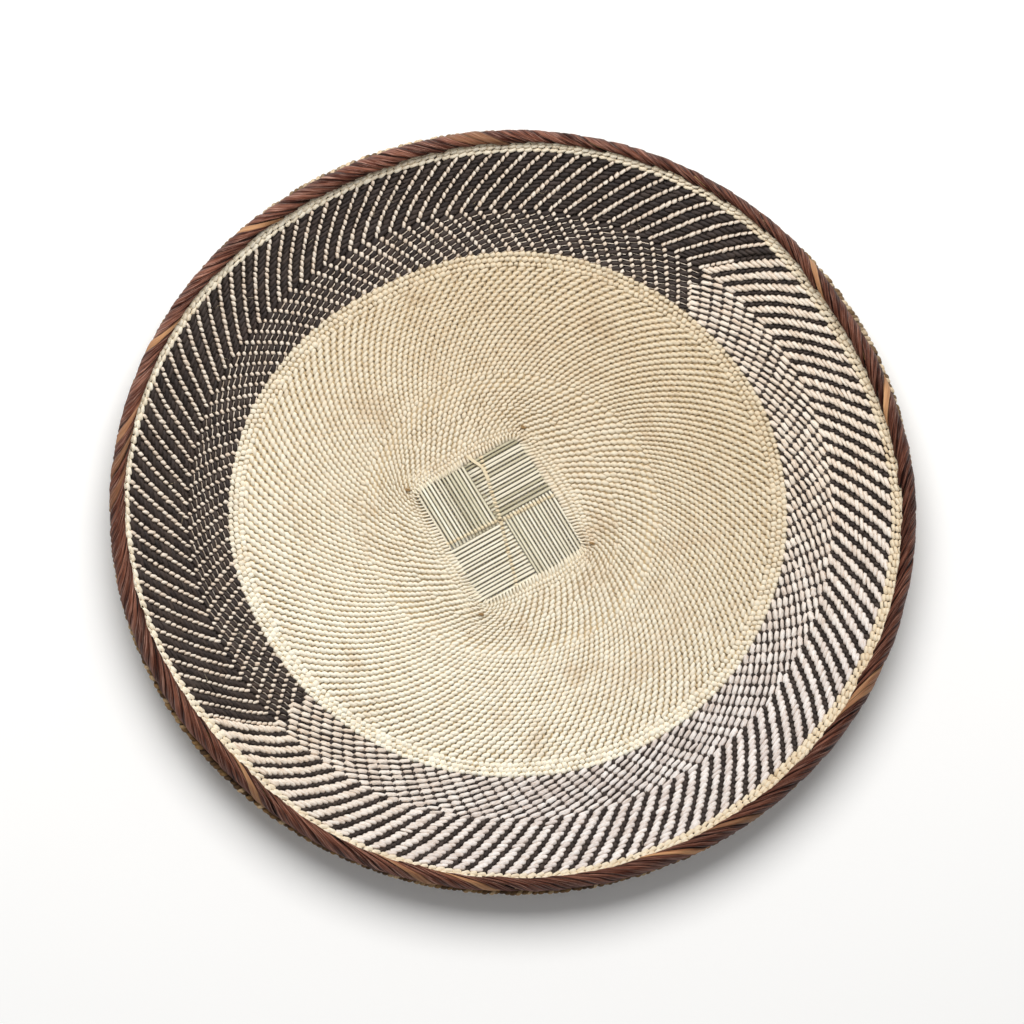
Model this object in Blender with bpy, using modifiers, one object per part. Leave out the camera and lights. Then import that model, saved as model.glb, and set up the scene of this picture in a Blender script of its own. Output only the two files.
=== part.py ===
"""Woven wall plate: a shallow, slightly oval twined basket plate.

It lies on its base with its front up. Flat splints plaited as a two-by-two block make the centre.
Stakes fan out from under the block to the rim, and every twined course passes in front of them and
behind them. A two-tone chevron band covers the sloping wall. Two hoops hold the ends of the stakes,
under a dark bark lashing, with a natural fibre border outside. Metres, +Z up.

The plate is drawn round, and the empty that carries every piece narrows it to its oval.
"""
import math

import bmesh
import bpy
from mathutils import Matrix, Vector

for old_object in list(bpy.data.objects):
    bpy.data.objects.remove(old_object, do_unlink=True)

# Overall sizes and the curve of the plate, from the rim inwards
LONG_DIAMETER = 0.450
SHORT_DIAMETER = 0.427
BORDER_REACH = 0.0018
STRAIGHT_RUN = 0.025
BEND_RADIUS = 0.106
WALL_SLOPE = math.radians(30)

# Twined courses: thickness of one layer, and the plan width of each zone
WEFT_THICKNESS = 0.0013
EDGE_WIDTH = 0.0042
OUTER_BAND_WIDTH = 0.0318
INNER_BAND_WIDTH = 0.0245
FINE_WIDTH = 0.0090
START_RADIUS = 0.083

# The dark half of each zone of the band, in plan, counter-clockwise from +X
INNER_DARK_START = math.radians(54)
INNER_DARK_SWEEP = math.radians(168)
OUTER_DARK_START = math.radians(48)
OUTER_DARK_SWEEP = math.radians(174)

# Stakes under the courses
STAKE_COUNT = 20
STAKE_THICKNESS = 0.0010
STAKE_WIDTH = 0.0018
STAKE_END_CLEARANCE = 0.0010

# The plaited block at the centre
BLOCK_PLACE = (-0.0057, -0.0033)
BLOCK_TURN = math.radians(30.5)
LONG_PITCH = 0.00213
CROSS_PITCH = 0.00231
LONG_SPLINT_WIDTH = 0.0017
CROSS_SPLINT_WIDTH = 0.0018
SPLINT_THICKNESS = 0.0008
LONG_SPLINTS = 15
CROSS_SPLINTS = 16
SPLINT_TAIL = 0.012
SPLINT_JOIN = 0.002
BUNDLE_GAP = 0.0030
TURN_RUN = 0.0022
BINDING_WIDTH = 0.0012
BINDING_THICKNESS = 0.0006
KNOT_RADIUS = 0.0018
KNOT_HEIGHT = 0.0014

# Rim
HOOP_RADIUS = 0.0016
LASHING_THICKNESS = 0.0007
LASHING_CLEARANCE = 0.0004
LASHING_WRAPS = 60
LASHING_RIDGE = 0.0003
LASHING_SLANT = math.radians(6.4)
BORDER_RADIUS = 0.0020
COURSE_END_GAP = 0.0005

# Gap between touching pieces, and the number of flats round the plate
CLEARANCE = 0.0003
SEGMENTS = 60
BEND_STEPS = 3
HOOP_SIDES = 6

# Rim section: the hoops lie either side of the stake ends, and the lashing goes round both
HOOP_OFFSET = STAKE_THICKNESS / 2 + CLEARANCE + HOOP_RADIUS
LASHING_INNER = HOOP_RADIUS + LASHING_CLEARANCE
LASHING_OUTER = LASHING_INNER + LASHING_RIDGE + LASHING_THICKNESS
LASHING_CORNER = LASHING_OUTER / math.cos(math.pi / 8)
RIM_HALF_WIDTH = HOOP_OFFSET * math.sin(WALL_SLOPE) + LASHING_CORNER
RIM_PLACE = LONG_DIAMETER / 2 - BORDER_REACH - RIM_HALF_WIDTH

# Zone edges in plan, from the rim inwards
COURSE_END = RIM_PLACE - (LASHING_OUTER + COURSE_END_GAP) * math.cos(WALL_SLOPE)
OUTER_BAND_END = COURSE_END - EDGE_WIDTH
INNER_BAND_END = OUTER_BAND_END - OUTER_BAND_WIDTH
FINE_END = INNER_BAND_END - INNER_BAND_WIDTH
FIELD_END = FINE_END - FINE_WIDTH

# Meridian: a flat floor, a bend and a straight wall
BEND_RUN = BEND_RADIUS * math.sin(WALL_SLOPE)
FLOOR_RADIUS = RIM_PLACE - STRAIGHT_RUN - BEND_RUN
HALF_SPACE = STAKE_THICKNESS / 2 + CLEARANCE
MID_HEIGHT = WEFT_THICKNESS + HALF_SPACE
BEND_STATIONS = [FLOOR_RADIUS + BEND_RADIUS * math.sin(WALL_SLOPE * step / BEND_STEPS)
                 for step in range(BEND_STEPS + 1)]

# Block: the two levels of its splints, and its size between the first courses
SPLINT_LEVEL = (SPLINT_THICKNESS + CLEARANCE) / 2
SPLINT_SPACE = SPLINT_LEVEL + SPLINT_THICKNESS / 2 + CLEARANCE
BLOCK_HALF_WIDTH = BUNDLE_GAP / 2 + LONG_SPLINTS * LONG_PITCH
BLOCK_HALF_LENGTH = BUNDLE_GAP / 2 + CROSS_SPLINTS * CROSS_PITCH
FRONT_FACE = MID_HEIGHT + HALF_SPACE + WEFT_THICKNESS
BLOCK_MATRIX = (Matrix.Translation((BLOCK_PLACE[0], BLOCK_PLACE[1], MID_HEIGHT))
                @ Matrix.Rotation(BLOCK_TURN, 4, "Z"))

plate = bpy.data.collections.new("woven_wall_plate")
cutters = bpy.data.collections.new("cutters")
bpy.context.scene.collection.children.link(plate)
bpy.context.scene.collection.children.link(cutters)

oval = bpy.data.objects.new("plate_oval", None)
oval.scale = (1, SHORT_DIAMETER / LONG_DIAMETER, 1)
plate.objects.link(oval)


def make_material(name, colour, roughness):
    """One Principled material, not metallic."""
    material = bpy.data.materials.new(name)
    material.use_nodes = True
    shader = material.node_tree.nodes["Principled BSDF"]
    shader.inputs["Base Color"].default_value = (*colour, 1)
    shader.inputs["Roughness"].default_value = roughness
    shader.inputs["Metallic"].default_value = 0
    return material


NATURAL = make_material("natural_palm", (0.80, 0.69, 0.46), 0.7)
PALE = make_material("pale_palm", (0.86, 0.76, 0.58), 0.7)
DYED = make_material("dyed_palm", (0.045, 0.036, 0.034), 0.75)
STRAW = make_material("green_straw", (0.55, 0.53, 0.36), 0.6)
BARK = make_material("dark_bark", (0.14, 0.048, 0.038), 0.5)
WITHY = make_material("peeled_withy", (0.45, 0.30, 0.16), 0.6)
FIBRE = make_material("coarse_fibre", (0.40, 0.28, 0.13), 0.8)


def place(piece, material, collection=plate):
    """Puts a piece in its collection, under the empty that makes the plate oval."""
    for holder in list(piece.users_collection):
        holder.objects.unlink(piece)
    collection.objects.link(piece)
    piece.parent = oval
    piece.data.materials.clear()
    if material:
        piece.data.materials.append(material)
    return piece


def wall_point(radius, depth):
    """Point of the meridian at a plan radius, set off towards the front by a depth.

    The bend is a row of chords, and what lies between two stations lies on their chord.
    """
    if radius <= FLOOR_RADIUS:
        return Vector((radius, 0, MID_HEIGHT + depth))
    corners = []
    for step in range(BEND_STEPS + 1):
        angle = WALL_SLOPE * step / BEND_STEPS
        corners.append(Vector((FLOOR_RADIUS + (BEND_RADIUS - depth) * math.sin(angle), 0,
                               MID_HEIGHT + BEND_RADIUS - (BEND_RADIUS - depth) * math.cos(angle))))
    beyond = radius - BEND_STATIONS[-1]
    if beyond >= 0:
        return corners[-1] + beyond * Vector((1, 0, math.tan(WALL_SLOPE)))
    step = sum(radius >= station for station in BEND_STATIONS)
    share = (radius - BEND_STATIONS[step - 1]) / (BEND_STATIONS[step] - BEND_STATIONS[step - 1])
    return corners[step - 1].lerp(corners[step], share)


def rim_point(along, depth):
    """Point of the rim's section: along the wall and off its face, from the rim's centre."""
    centre = wall_point(RIM_PLACE, depth)
    return centre + along * Vector((math.cos(WALL_SLOPE), 0, math.sin(WALL_SLOPE)))


def stations(inner, outer):
    """Plan radii that a piece between two radii bends at, with its own ends."""
    return [inner] + [radius for radius in BEND_STATIONS if inner < radius < outer] + [outer]


def polyline_mesh(name, points):
    """Mesh of edges through a row of points."""
    mesh = bpy.data.meshes.new(name)
    mesh.from_pydata([tuple(point) for point in points], [(i, i + 1) for i in range(len(points) - 1)], [])
    return mesh


def new_cutter(name, size):
    """Box that cuts another piece and isn't part of the plate."""
    bpy.ops.mesh.primitive_cube_add(size=1)
    cutter = place(bpy.context.object, None, cutters)
    cutter.name = name
    cutter.data.transform(Matrix.Diagonal((*size, 1)))
    cutter.hide_render = True
    cutter.display_type = "WIRE"
    return cutter


def course_layer(name, inner, outer, side, material, start=0.0, sweep=math.tau):
    """Twined courses on one face of the stakes, as a turned and thickened sheet."""
    radii = stations(inner + CLEARANCE / 2, outer - CLEARANCE / 2)
    mesh = polyline_mesh(name, [wall_point(radius, side * HALF_SPACE) for radius in radii])
    layer = place(bpy.data.objects.new(name, mesh), material)
    joint_gap = 0 if sweep == math.tau else CLEARANCE / inner
    layer.rotation_euler.z = start + joint_gap / 2
    turn = layer.modifiers.new("turn", "SCREW")
    turn.angle = sweep - joint_gap
    turn.steps = turn.render_steps = round(SEGMENTS * sweep / math.tau)
    turn.use_merge_vertices = False
    thicken = layer.modifiers.new("thicken", "SOLIDIFY")
    thicken.thickness = WEFT_THICKNESS
    thicken.offset = side
    thicken.use_even_offset = True
    return layer


def start_layer(name, side, material, opening):
    """First courses round the block: a disc with the block's rectangle cut out."""
    thickness = MID_HEIGHT - SPLINT_SPACE
    bpy.ops.mesh.primitive_cylinder_add(
        vertices=SEGMENTS, radius=START_RADIUS - CLEARANCE / 2, depth=thickness,
        location=(0, 0, MID_HEIGHT + side * (SPLINT_SPACE + thickness / 2)),
        rotation=(0, 0, math.pi / 2))
    layer = place(bpy.context.object, material)
    layer.name = name
    cut = layer.modifiers.new("block_opening", "BOOLEAN")
    cut.operation = "DIFFERENCE"
    cut.object = opening
    return layer


def flat_curve(outline, thickness):
    """Flat outline as a filled 2D curve, extruded to a thickness."""
    curve = bpy.data.curves.new("outline", "CURVE")
    curve.dimensions = "2D"
    curve.fill_mode = "BOTH"
    curve.extrude = thickness / 2
    spline = curve.splines.new("POLY")
    spline.points.add(len(outline) - 1)
    for point, (x, y) in zip(spline.points, outline):
        point.co = (x, y, 0, 1)
    spline.use_cyclic_u = True
    return curve


def strip_mesh(upper, lower, width):
    """Flat strip: its side outline extruded to the strip's width, as a welded mesh."""
    outline = [(point.x, point.z) for point in upper + lower[::-1]]
    drawn = bpy.data.objects.new("strip", flat_curve(outline, width))
    bpy.context.scene.collection.objects.link(drawn)
    mesh = bpy.data.meshes.new_from_object(drawn.evaluated_get(bpy.context.evaluated_depsgraph_get()))
    bpy.data.objects.remove(drawn, do_unlink=True)
    welded = bmesh.new()
    welded.from_mesh(mesh)
    bmesh.ops.remove_doubles(welded, verts=welded.verts, dist=0.000001)
    welded.to_mesh(mesh)
    welded.free()
    mesh.transform(Matrix.Rotation(math.pi / 2, 4, "X"))
    return mesh


def bundle(name, turn, half_length, count, pitch, width):
    """Splints side by side that pass under one crossing bundle and over the other.

    They stay joined at their hidden ends, where the first courses hold them.
    """
    path = [(-half_length, -SPLINT_LEVEL), (-TURN_RUN / 2, -SPLINT_LEVEL),
            (TURN_RUN / 2, SPLINT_LEVEL), (half_length, SPLINT_LEVEL)]
    upper = [Vector((along, 0, level + SPLINT_THICKNESS / 2)) for along, level in path]
    lower = [Vector((along, 0, level - SPLINT_THICKNESS / 2)) for along, level in path]
    split = pitch - width
    direction = BLOCK_MATRIX @ Matrix.Rotation(turn, 4, "Z")
    mat_mesh = strip_mesh(upper, lower, count * pitch - split)
    mat = place(bpy.data.objects.new(name, mat_mesh), STRAW)
    mat.matrix_basis = direction @ Matrix.Translation((0, (BUNDLE_GAP + count * pitch) / 2, 0))

    splits = new_cutter(name + "_splits", (2 * (half_length - SPLINT_JOIN), split, 4 * SPLINT_SPACE))
    splits.matrix_basis = direction @ Matrix.Translation((0, BUNDLE_GAP / 2 + pitch, 0))
    repeat = splits.modifiers.new("repeat", "ARRAY")
    repeat.count = count - 1
    repeat.use_relative_offset = False
    repeat.use_constant_offset = True
    repeat.constant_offset_displace = (0, pitch, 0)
    cut = mat.modifiers.new("splits", "BOOLEAN")
    cut.operation = "DIFFERENCE"
    cut.object = splits
    return mat


def block_binding():
    """Crossed tie strands along the seams of the block, over the splints that change level there."""
    ramp = SPLINT_LEVEL * BINDING_WIDTH / TURN_RUN
    height = ramp + SPLINT_THICKNESS / 2 + CLEARANCE + BINDING_THICKNESS / 2
    half = BINDING_WIDTH / 2
    reach_x = BLOCK_HALF_WIDTH - CLEARANCE
    reach_y = BLOCK_HALF_LENGTH - CLEARANCE
    arm = [(reach_x, half), (half, half), (half, reach_y)]
    corner = [(-x, y) for x, y in reversed(arm)]
    top = arm + corner
    outline = top + [(-x, -y) for x, y in top]
    binding = place(bpy.data.objects.new("block_binding", flat_curve(outline, BINDING_THICKNESS)), PALE)
    binding.matrix_basis = BLOCK_MATRIX @ Matrix.Translation((0, 0, height))
    return binding


def corner_knots():
    """A small knot on the first courses at each corner of the block."""
    lift = FRONT_FACE - MID_HEIGHT + CLEARANCE + KNOT_HEIGHT / 2
    reach_x = BLOCK_HALF_WIDTH + KNOT_RADIUS + CLEARANCE
    reach_y = BLOCK_HALF_LENGTH + KNOT_RADIUS + CLEARANCE
    corners = [(reach_x, reach_y), (-reach_x, reach_y), (-reach_x, -reach_y), (reach_x, -reach_y)]
    for number, (x, y) in enumerate(corners, start=1):
        bpy.ops.mesh.primitive_uv_sphere_add(segments=8, ring_count=6, radius=1)
        knot = place(bpy.context.object, WITHY)
        knot.name = f"corner_knot_{number}"
        knot.matrix_basis = (BLOCK_MATRIX @ Matrix.Translation((x, y, lift))
                             @ Matrix.Diagonal((KNOT_RADIUS, KNOT_RADIUS, KNOT_HEIGHT / 2, 1)))
        knot.data.shade_smooth()


def stakes():
    """Radial stakes between the two layers of courses, each centred on one flat of the plate."""
    end = rim_point(LASHING_INNER - STAKE_END_CLEARANCE, 0).x
    radii = stations(START_RADIUS + CLEARANCE, end)
    upper = [wall_point(radius, STAKE_THICKNESS / 2) for radius in radii]
    lower = [wall_point(radius, -STAKE_THICKNESS / 2) for radius in radii]
    mesh = strip_mesh(upper, lower, STAKE_WIDTH)
    mesh.transform(Matrix.Scale(math.cos(math.pi / SEGMENTS), 4, (1, 0, 0)))
    for number in range(STAKE_COUNT):
        stake = place(bpy.data.objects.new(f"stake_{number + 1:02d}", mesh), STRAW)
        stake.rotation_euler.z = math.tau * (number / STAKE_COUNT + 0.5 / SEGMENTS)


def ring(name, centre, radius, material):
    """A bent hoop of round section at a point of the rim."""
    bpy.ops.mesh.primitive_torus_add(
        major_radius=centre.x, minor_radius=radius, major_segments=SEGMENTS,
        minor_segments=HOOP_SIDES, location=(0, 0, centre.z))
    hoop = place(bpy.context.object, material)
    hoop.name = name
    hoop.data.shade_smooth()
    return hoop


def outer_border():
    """Bundle of coarse fibre outside and below the lashed rim."""
    back_hoop = rim_point(0, -HOOP_OFFSET)
    distance = LASHING_CORNER + CLEARANCE + BORDER_RADIUS
    outward = LONG_DIAMETER / 2 - BORDER_RADIUS - back_hoop.x
    down = math.sqrt(distance ** 2 - outward ** 2)
    centre = back_hoop + Vector((outward, 0, -down))
    return ring("outer_border", centre, BORDER_RADIUS, FIBRE)


def lashing_section(ridge):
    """Inner side of the lashing round both hoops, from its front lip over the rim to its back lip."""
    inner = LASHING_INNER + ridge
    corner = inner * math.tan(math.pi / 8)
    front_half = [(-inner, HALF_SPACE),
                  (-inner, HOOP_OFFSET + corner),
                  (-corner, HOOP_OFFSET + inner),
                  (corner, HOOP_OFFSET + inner),
                  (inner, HOOP_OFFSET + corner)]
    return front_half + [(along, -depth) for along, depth in reversed(front_half)]


def rim_lashing():
    """Bark strip wound on the slant round both hoops, open below where the stakes come in."""
    sheet = bmesh.new()
    stops = 2 * LASHING_WRAPS
    sections = [lashing_section(0), lashing_section(LASHING_RIDGE)]
    last = len(sections[0]) - 1
    bmesh.ops.create_grid(sheet, x_segments=stops, y_segments=last, size=0.5)
    for vertex in sheet.verts:
        stop = round((vertex.co.x + 0.5) * stops)
        index = round((vertex.co.y + 0.5) * last)
        along, depth = sections[stop % 2][index]
        angle = math.tau * stop / stops + LASHING_SLANT * index / last
        vertex.co = Matrix.Rotation(angle, 3, "Z") @ rim_point(along, depth)
    bmesh.ops.remove_doubles(sheet, verts=sheet.verts, dist=0.000001)
    mesh = bpy.data.meshes.new("rim_lashing")
    sheet.to_mesh(mesh)
    sheet.free()
    lashing = place(bpy.data.objects.new("rim_lashing", mesh), BARK)
    thicken = lashing.modifiers.new("thicken", "SOLIDIFY")
    thicken.thickness = LASHING_THICKNESS
    thicken.offset = -1
    thicken.use_even_offset = True
    return lashing


block_cutter = new_cutter("block_cutter", (2 * BLOCK_HALF_WIDTH, 2 * BLOCK_HALF_LENGTH, 4 * MID_HEIGHT))
block_cutter.matrix_basis = BLOCK_MATRIX

QUARTER = math.pi / 2
bundle("cross_splints_upper", 0, BLOCK_HALF_WIDTH + SPLINT_TAIL, CROSS_SPLINTS,
       CROSS_PITCH, CROSS_SPLINT_WIDTH)
bundle("long_splints_left", QUARTER, BLOCK_HALF_LENGTH + SPLINT_TAIL, LONG_SPLINTS,
       LONG_PITCH, LONG_SPLINT_WIDTH)
bundle("cross_splints_lower", 2 * QUARTER, BLOCK_HALF_WIDTH + SPLINT_TAIL, CROSS_SPLINTS,
       CROSS_PITCH, CROSS_SPLINT_WIDTH)
bundle("long_splints_right", 3 * QUARTER, BLOCK_HALF_LENGTH + SPLINT_TAIL, LONG_SPLINTS,
       LONG_PITCH, LONG_SPLINT_WIDTH)
block_binding()
corner_knots()
stakes()

BAND_ZONES = (
    ("inner_band", FINE_END, INNER_BAND_END, INNER_DARK_START, INNER_DARK_SWEEP),
    ("outer_band", INNER_BAND_END, OUTER_BAND_END, OUTER_DARK_START, OUTER_DARK_SWEEP),
)
for face, side in (("front", 1), ("back", -1)):
    start_layer("start_courses_" + face, side, NATURAL, block_cutter)
    course_layer("field_courses_" + face, START_RADIUS, FIELD_END, side, NATURAL)
    course_layer("fine_courses_" + face, FIELD_END, FINE_END, side, NATURAL)
    for zone, inner, outer, start, sweep in BAND_ZONES:
        course_layer(zone + "_dark_" + face, inner, outer, side, DYED, start, sweep)
        course_layer(zone + "_light_" + face, inner, outer, side, PALE, start + sweep, math.tau - sweep)
    course_layer("edge_courses_" + face, OUTER_BAND_END, COURSE_END, side, NATURAL)

ring("inner_hoop", rim_point(0, HOOP_OFFSET), HOOP_RADIUS, WITHY)
ring("outer_hoop", rim_point(0, -HOOP_OFFSET), HOOP_RADIUS, WITHY)
rim_lashing()
outer_border()
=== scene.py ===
import math

import bpy
import mathutils
import numpy as np
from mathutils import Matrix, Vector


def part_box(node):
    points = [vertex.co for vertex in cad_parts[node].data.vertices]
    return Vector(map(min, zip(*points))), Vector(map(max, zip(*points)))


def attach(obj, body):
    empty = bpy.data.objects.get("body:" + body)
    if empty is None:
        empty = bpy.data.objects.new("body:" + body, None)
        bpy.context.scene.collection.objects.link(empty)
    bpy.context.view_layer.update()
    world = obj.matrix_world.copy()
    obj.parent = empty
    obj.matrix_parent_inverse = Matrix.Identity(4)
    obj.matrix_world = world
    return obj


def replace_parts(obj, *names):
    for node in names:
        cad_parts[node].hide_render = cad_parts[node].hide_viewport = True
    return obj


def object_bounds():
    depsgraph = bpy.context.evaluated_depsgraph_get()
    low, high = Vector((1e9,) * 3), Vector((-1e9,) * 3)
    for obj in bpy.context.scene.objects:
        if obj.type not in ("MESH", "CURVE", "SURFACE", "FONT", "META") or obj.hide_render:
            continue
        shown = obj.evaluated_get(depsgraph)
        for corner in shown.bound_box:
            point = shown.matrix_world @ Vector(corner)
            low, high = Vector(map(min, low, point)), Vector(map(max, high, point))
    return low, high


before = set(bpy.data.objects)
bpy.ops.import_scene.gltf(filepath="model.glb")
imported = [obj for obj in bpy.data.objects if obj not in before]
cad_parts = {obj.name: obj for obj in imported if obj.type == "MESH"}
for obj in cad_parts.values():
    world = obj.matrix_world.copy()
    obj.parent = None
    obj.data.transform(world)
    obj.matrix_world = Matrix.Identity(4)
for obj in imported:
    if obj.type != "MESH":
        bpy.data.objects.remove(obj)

cad_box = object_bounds()
chance = np.random.default_rng(27)


# The plaited centre: four bundles of split palm ribs, each over one neighbour and under the other.
# The ribs are stiff, grey-green and cream, and their ends run out under the first courses.
LONG_DIAMETER = 0.450
SHORT_DIAMETER = 0.427
OVAL = SHORT_DIAMETER / LONG_DIAMETER
STAKE_LEVEL = 0.0021
BLOCK_PLACE = (-0.0057, -0.0033)
BLOCK_TURN = math.radians(30.5)
SPLINT_THICKNESS = 0.0008
SPLINT_LEVEL = 0.00055
SPLINT_TAIL = 0.011
SPLINT_WOBBLE = 0.000032
SPLINT_LIFT = 0.00008
SPLINT_WIDTHS = (0.82, 1.10)
SPLINT_THICKNESSES = (0.8, 1.1)
BUNDLE_GAP = 0.0030
TURN_RUN = 0.0022
LONG_SPLINTS = 15
CROSS_SPLINTS = 16
LONG_PITCH = 0.00213
CROSS_PITCH = 0.00231
SPLINT_SPLIT = 0.00042
BLOCK_HALF_WIDTH = BUNDLE_GAP / 2 + LONG_SPLINTS * LONG_PITCH
BLOCK_HALF_LENGTH = BUNDLE_GAP / 2 + CROSS_SPLINTS * CROSS_PITCH


def colour(red, green, blue):
    """Linear colour from the 0 to 255 values that a picture editor shows."""
    shares = np.array((red, green, blue)) / 255
    linear = np.where(shares < 0.04045, shares / 12.92, ((shares + 0.055) / 1.055) ** 2.4)
    return (*[float(value) for value in linear], 1.0)


class Socket:
    """One output in a material's nodes. Sums with it add Math nodes, and node() adds any other node."""

    def __init__(self, tree, output=None):
        self.tree = tree
        self.output = output

    def node(self, kind, settings, sockets, output=0):
        made = self.tree.nodes.new("ShaderNode" + kind)
        for name, value in settings.items():
            if name == "stops":
                self.set_stops(made.color_ramp, value)
            else:
                setattr(made, name, value)
        for name, value in sockets.items():
            self.feed(made.inputs[name], value)
        return Socket(self.tree, made.outputs[output])

    def set_stops(self, ramp, stops):
        for place, stop_colour in stops[1:-1]:
            ramp.elements.new(place).color = stop_colour
        ramp.elements[0].position, ramp.elements[0].color = stops[0]
        ramp.elements[-1].position, ramp.elements[-1].color = stops[-1]

    def feed(self, socket, value):
        if isinstance(value, Socket):
            self.tree.links.new(value.output, socket)
        else:
            socket.default_value = value

    def sum(self, operation, first, second):
        return self.node("Math", {"operation": operation}, {0: first, 1: second})

    def __add__(self, other):
        return self.sum("ADD", self, other)

    def __rsub__(self, other):
        return self.sum("SUBTRACT", other, self)

    def __mul__(self, other):
        return self.sum("MULTIPLY", self, other)

    __radd__ = __add__
    __rmul__ = __mul__

    def blend(self, share, first, second, kind="MIX"):
        """Colour between two others."""
        return self.node("Mix", {"data_type": "RGBA", "blend_type": kind},
                         {0: share, 6: first, 7: second}, 2)

    def shade(self, share, colours, by):
        """Colour multiplied by another one, as far as a share says."""
        return self.blend(share, colours, by, "MULTIPLY")

    def spread(self, low, high):
        """The value stretched so that low becomes 0 and high becomes 1, and held there."""
        return self.node("MapRange", {"clamp": True},
                         {"Value": self, "From Min": low, "From Max": high})


def new_material(name, roughness):
    """Material with a Principled shader, with the socket helper for its nodes."""
    material = bpy.data.materials.new(name)
    material.use_nodes = True
    shader = material.node_tree.nodes["Principled BSDF"]
    shader.inputs["Roughness"].default_value = roughness
    shader.inputs["Specular IOR Level"].default_value = 0.35
    return material, shader, Socket(material.node_tree)


LIE = ("along", "across", "number")


def carried(nodes, name):
    """What strands carry: mm along them, place across them, a random number, or an extra value."""
    if name in LIE:
        lie = nodes.node("Attribute", {"attribute_name": "lie"}, {}, "Vector")
        return nodes.node("SeparateXYZ", {}, {0: lie}, LIE.index(name))
    return nodes.node("Attribute", {"attribute_name": name}, {}, "Fac")


def fibres(nodes, fine_along, fine_across):
    """Noise drawn out along a strand, as its fibres are. It differs from strand to strand."""
    strand_step = 61
    place = nodes.node("CombineXYZ", {}, {0: carried(nodes, "along") * fine_along,
                                          1: carried(nodes, "across") * fine_across,
                                          2: carried(nodes, "number") * strand_step})
    return nodes.node("TexNoise", {}, {"Vector": place, "Scale": 1.0, "Detail": 3.0, "Roughness": 0.6})


def finish(nodes, shader, tint, height=None, depth=0.0):
    """Colour on the shader, and bump of a depth in metres from a height between 0 and 1."""
    nodes.feed(shader.inputs["Base Color"], tint)
    if height:
        bump = nodes.node("Bump", {}, {"Strength": 1.0, "Distance": depth, "Height": height}, "Normal")
        nodes.feed(shader.inputs["Normal"], bump)


def flank(nodes, low, high):
    """How far a place lies down the sides of its strand: 0 at low, 1 at high."""
    across = carried(nodes, "across")
    return (across * across).spread(low, high)


def each(values):
    """One value for each strand, to be spread over its rings and sides."""
    return values[:, None, None]


def lie_of(points, along, across, number=None):
    """What the points of strands carry: along and across the strand, and its number, random or given."""
    if number is None:
        number = each(chance.uniform(size=len(points)))
    return np.stack([np.broadcast_to(part, points.shape[:-1]) for part in (along, across, number)], axis=-1)


def strands(name, points, lie, material, slot, closed=False, **others):
    """One mesh of many strands: points and lie are [strand, ring along it, side across it, 3].

    Every strand has its own square on the OFBake map.
    """
    count, rings, sides = points.shape[:3]
    index = np.arange(count * rings * sides).reshape(count, rings, sides)
    if closed:
        index = np.concatenate([index, index[:, :, :1]], axis=2)
    quads = np.stack([index[:, :-1, :-1], index[:, 1:, :-1], index[:, 1:, 1:], index[:, :-1, 1:]], axis=-1)
    mesh = bpy.data.meshes.new(name)
    mesh.vertices.add(count * rings * sides)
    mesh.vertices.foreach_set("co", (points * (1, OVAL, 1)).ravel())
    mesh.loops.add(quads.size)
    mesh.loops.foreach_set("vertex_index", quads.ravel())
    mesh.polygons.add(quads.size // 4)
    mesh.polygons.foreach_set("loop_start", np.arange(0, quads.size, 4))
    mesh.update(calc_edges=True)

    margin = 0.04
    columns = math.ceil(math.sqrt(count))
    cell = np.arange(count)[:, None, None, None]
    ring = np.arange(rings - 1)[:, None, None] + np.array([0, 1, 1, 0])
    side = np.arange(index.shape[2] - 1)[:, None] + np.array([0, 0, 1, 1])
    u = cell % columns + margin + (1 - 2 * margin) * ring / (rings - 1)
    v = cell // columns + margin + (1 - 2 * margin) * side / (index.shape[2] - 1)
    places = np.stack(np.broadcast_arrays(u, v), axis=-1) / columns
    mesh.uv_layers.new(name="OFBake").uv.foreach_set("vector", places.ravel())

    mesh.attributes.new("lie", "FLOAT_VECTOR", "POINT").data.foreach_set("vector", lie.ravel())
    for key, value in others.items():
        extra = mesh.attributes.new(key, "FLOAT", "POINT")
        extra.data.foreach_set("value", np.broadcast_to(value, (count, rings, sides)).astype(float).ravel())
    mesh.shade_smooth()
    mesh.materials.append(material)
    piece = bpy.data.objects.new(name, mesh)
    bpy.context.scene.collection.objects.link(piece)
    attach(piece, "root")
    return piece


def block_to_plate(u, v, height):
    """Points of the plaited block in the plate's round frame."""
    x = BLOCK_PLACE[0] + u * math.cos(BLOCK_TURN) - v * math.sin(BLOCK_TURN)
    y = BLOCK_PLACE[1] + u * math.sin(BLOCK_TURN) + v * math.cos(BLOCK_TURN)
    return np.stack([x, y, STAKE_LEVEL + height], axis=-1)


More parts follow.
